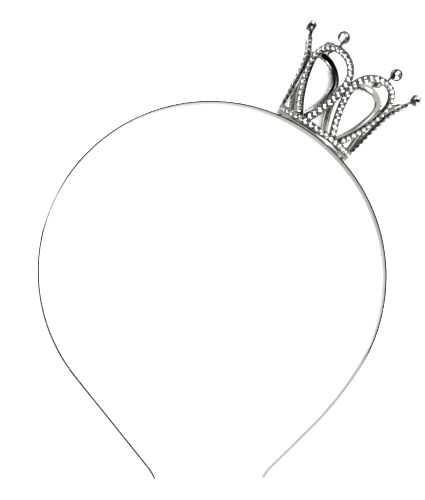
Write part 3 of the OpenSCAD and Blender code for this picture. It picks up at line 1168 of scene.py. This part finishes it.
# A dab of solder: its height, how far it reaches across and towards and away from the crown's middle, how
# far its middle lies inside the ring, the height of its ripples, how unevenly it spread, how full its sides
# are, how far it slumped, and which slice of the noise shapes it
SOLDER_HEIGHT = 1.5 * MM
SOLDER_ACROSS = 1.7 * MM
SOLDER_INWARDS = 2.6 * MM
SOLDER_OUTWARDS = 1.5 * MM
SOLDER_INSIDE = 1.5 * MM
SOLDER_RIPPLE = 0.16 * MM
SOLDER_SPREAD = 0.3
SOLDER_FULLNESS = 0.8
SOLDER_SLUMP = 0.45
SOLDER_SEED = 3.7


def solder_dab(side, rings=12, steps=32):
    """A lump of solder in the corner between the ring's wall and the strip, at one end of the ring."""
    s, c = settings().strip, settings().crown
    middle = side * (ring_inside() - SOLDER_INSIDE) + c.side_shift
    points, faces = [], []
    for i in range(rings + 1):
        out = 1 - i / (rings + 1)
        for turn in even_turns(steps):
            along, across = math.cos(turn), math.sin(turn)
            spread = 1 + SOLDER_SPREAD * noise.noise(Vector((along, across, SOLDER_SEED * side)))
            reach = SOLDER_INWARDS if along > 0 else SOLDER_OUTWARDS
            x, y = middle - side * out * spread * along * reach, out * spread * across * SOLDER_ACROSS
            face = math.sqrt(s.radius**2 - x**2) - ring_seat() + c.seat_gap / 2
            rise = SOLDER_HEIGHT * (1 - out**2) ** SOLDER_FULLNESS * (1 - SOLDER_SLUMP * out * along)
            ripple = SOLDER_RIPPLE * (1 - out) * noise.noise(Vector((x, y, side * MM)) / MM)
            points.append(Vector((x, y, face + rise + ripple)))
    for i in range(rings):
        for k in range(steps):
            after, low, high = (k + 1) % steps, i * steps, (i + 1) * steps
            faces.append([low + k, low + after, high + after, high + k])
    faces.append([rings * steps + k for k in range(steps)])
    faces.append(list(range(steps))[::-1])
    return [crown_place() @ p for p in points], [f if side < 0 else f[::-1] for f in faces]


class CROWNBAND_OT_solder_crown(bpy.types.Operator):
    """Solder the ring's two ends to the strip"""

    bl_idname = "crownband.solder_crown"
    bl_label = "Solder Crown"

    def execute(self, context):
        dabs = joined_parts(solder_dab(side) for side in (-1, 1))
        mesh = face_mesh("solder_dabs", *dabs, solder_metal())
        settle(new_object("solder_dabs", mesh), "crown_metal", "crown_frame")
        return {"FINISHED"}


def softbox(name, place, target):
    """A soft rectangular light that looks at a point."""
    light = bpy.data.lights.new(name, "AREA")
    light.shape = "RECTANGLE"
    light.size, light.size_y = SOFTBOX_SIZE
    light.energy = SOFTBOX_POWER
    found = new_object(name, light)
    found.location = place
    found.rotation_euler = (Vector(place) - target).to_track_quat("Z", "Y").to_euler()


def studio_world():
    """Soft pale light from all round, with dark panels that give the metal its dark lines."""
    world = bpy.data.worlds.new("studio")
    world.use_nodes = True
    nodes = Nodes(world.node_tree)
    where = nodes.out("ShaderNodeTexCoord", output="Generated")
    shade = 1.0
    for *angles, light in DARK_PANELS:
        turn, rise, start, end = map(math.radians, angles)
        way = Vector((math.cos(turn) * math.cos(rise), math.sin(turn) * math.cos(rise), math.sin(rise)))
        near = nodes.out("ShaderNodeVectorMath", {0: where, 1: way}, "Value", operation="DOT_PRODUCT")
        inputs = {"Value": near, "From Min": math.cos(start), "From Max": math.cos(end)}
        inputs |= {"To Min": 1.0, "To Max": light}
        panel = nodes.out("ShaderNodeMapRange", inputs, interpolation_type="SMOOTHSTEP")
        shade = nodes.maths("MULTIPLY", shade, panel)
    background = world.node_tree.nodes["Background"].inputs
    nodes.feed(background["Color"], shade)
    nodes.feed(background["Strength"], WORLD_LIGHT)
    bpy.context.scene.world = world


class CROWNBAND_OT_dress_stage(bpy.types.Operator):
    """Lay the pale floor, and place the soft lights and the camera"""

    bl_idname = "crownband.dress_stage"
    bl_label = "Dress Stage"

    def execute(self, context):
        strip = strip_place()
        eye, target = strip @ CAMERA_PLACE, strip @ CAMERA_TARGET
        look = (target - eye).normalized()
        right = look.cross(strip.to_3x3() @ Vector((0, 1, 0))).normalized()
        camera = bpy.data.cameras.new("camera")
        camera.sensor_width = SENSOR
        camera.lens = FOCAL_PIXELS / PICTURE_HEIGHT * SENSOR
        camera.clip_start, camera.clip_end = 0.05, 20
        found = new_object("camera", camera)
        found.matrix_world = axes_at(eye, right, right.cross(look), -look)
        context.scene.camera = found

        corners = [(x * FLOOR_REACH, y * FLOOR_REACH, 0) for x, y in ((-1, -1), (1, -1), (1, 1), (-1, 1))]
        floor = face_mesh("floor", corners, [(0, 1, 2, 3)], floor_paper(), smooth=False)
        new_object("floor", floor)
        studio_world()
        for name, place in SOFTBOXES.items():
            softbox(name, place, target)
        context.scene.view_settings.view_transform = "Standard"
        return {"FINISHED"}


class CROWNBAND_PT_sidebar(bpy.types.Panel):
    """Sizes, finishes and steps of the crown headband"""

    bl_idname = "CROWNBAND_PT_sidebar"
    bl_label = "Crown Headband"
    bl_space_type = "VIEW_3D"
    bl_region_type = "UI"
    bl_category = "Crown Headband"

    def draw(self, context):
        for step in STEPS:
            self.layout.operator(step.bl_idname)
        for group in ("strip", "crown", "finial", "stone", "finish"):
            box = self.layout.box()
            box.label(text=group.capitalize())
            values = getattr(settings(), group)
            for name in values.__annotations__:
                box.prop(values, name)


STEPS = (
    CROWNBAND_OT_dress_stage,
    CROWNBAND_OT_bend_strip,
    CROWNBAND_OT_cast_ring,
    CROWNBAND_OT_cast_loops,
    CROWNBAND_OT_set_small_stones,
    CROWNBAND_OT_set_finials,
    CROWNBAND_OT_solder_crown,
)
GROUPS = (StripSizes, CrownSizes, FinialSizes, StoneSizes, Finishes, HeadbandSettings)
CLASSES = (*GROUPS, *STEPS, CROWNBAND_PT_sidebar)


def register():
    for found in CLASSES:
        bpy.utils.register_class(found)
    bpy.types.Scene.crown_headband = PointerProperty(type=HeadbandSettings)


def unregister():
    del bpy.types.Scene.crown_headband
    for found in reversed(CLASSES):
        bpy.utils.unregister_class(found)


def main():
    register()
    for step in STEPS:
        group, name = step.bl_idname.split(".")
        getattr(getattr(bpy.ops, group), name)()


if __name__ == "__main__":
    main()
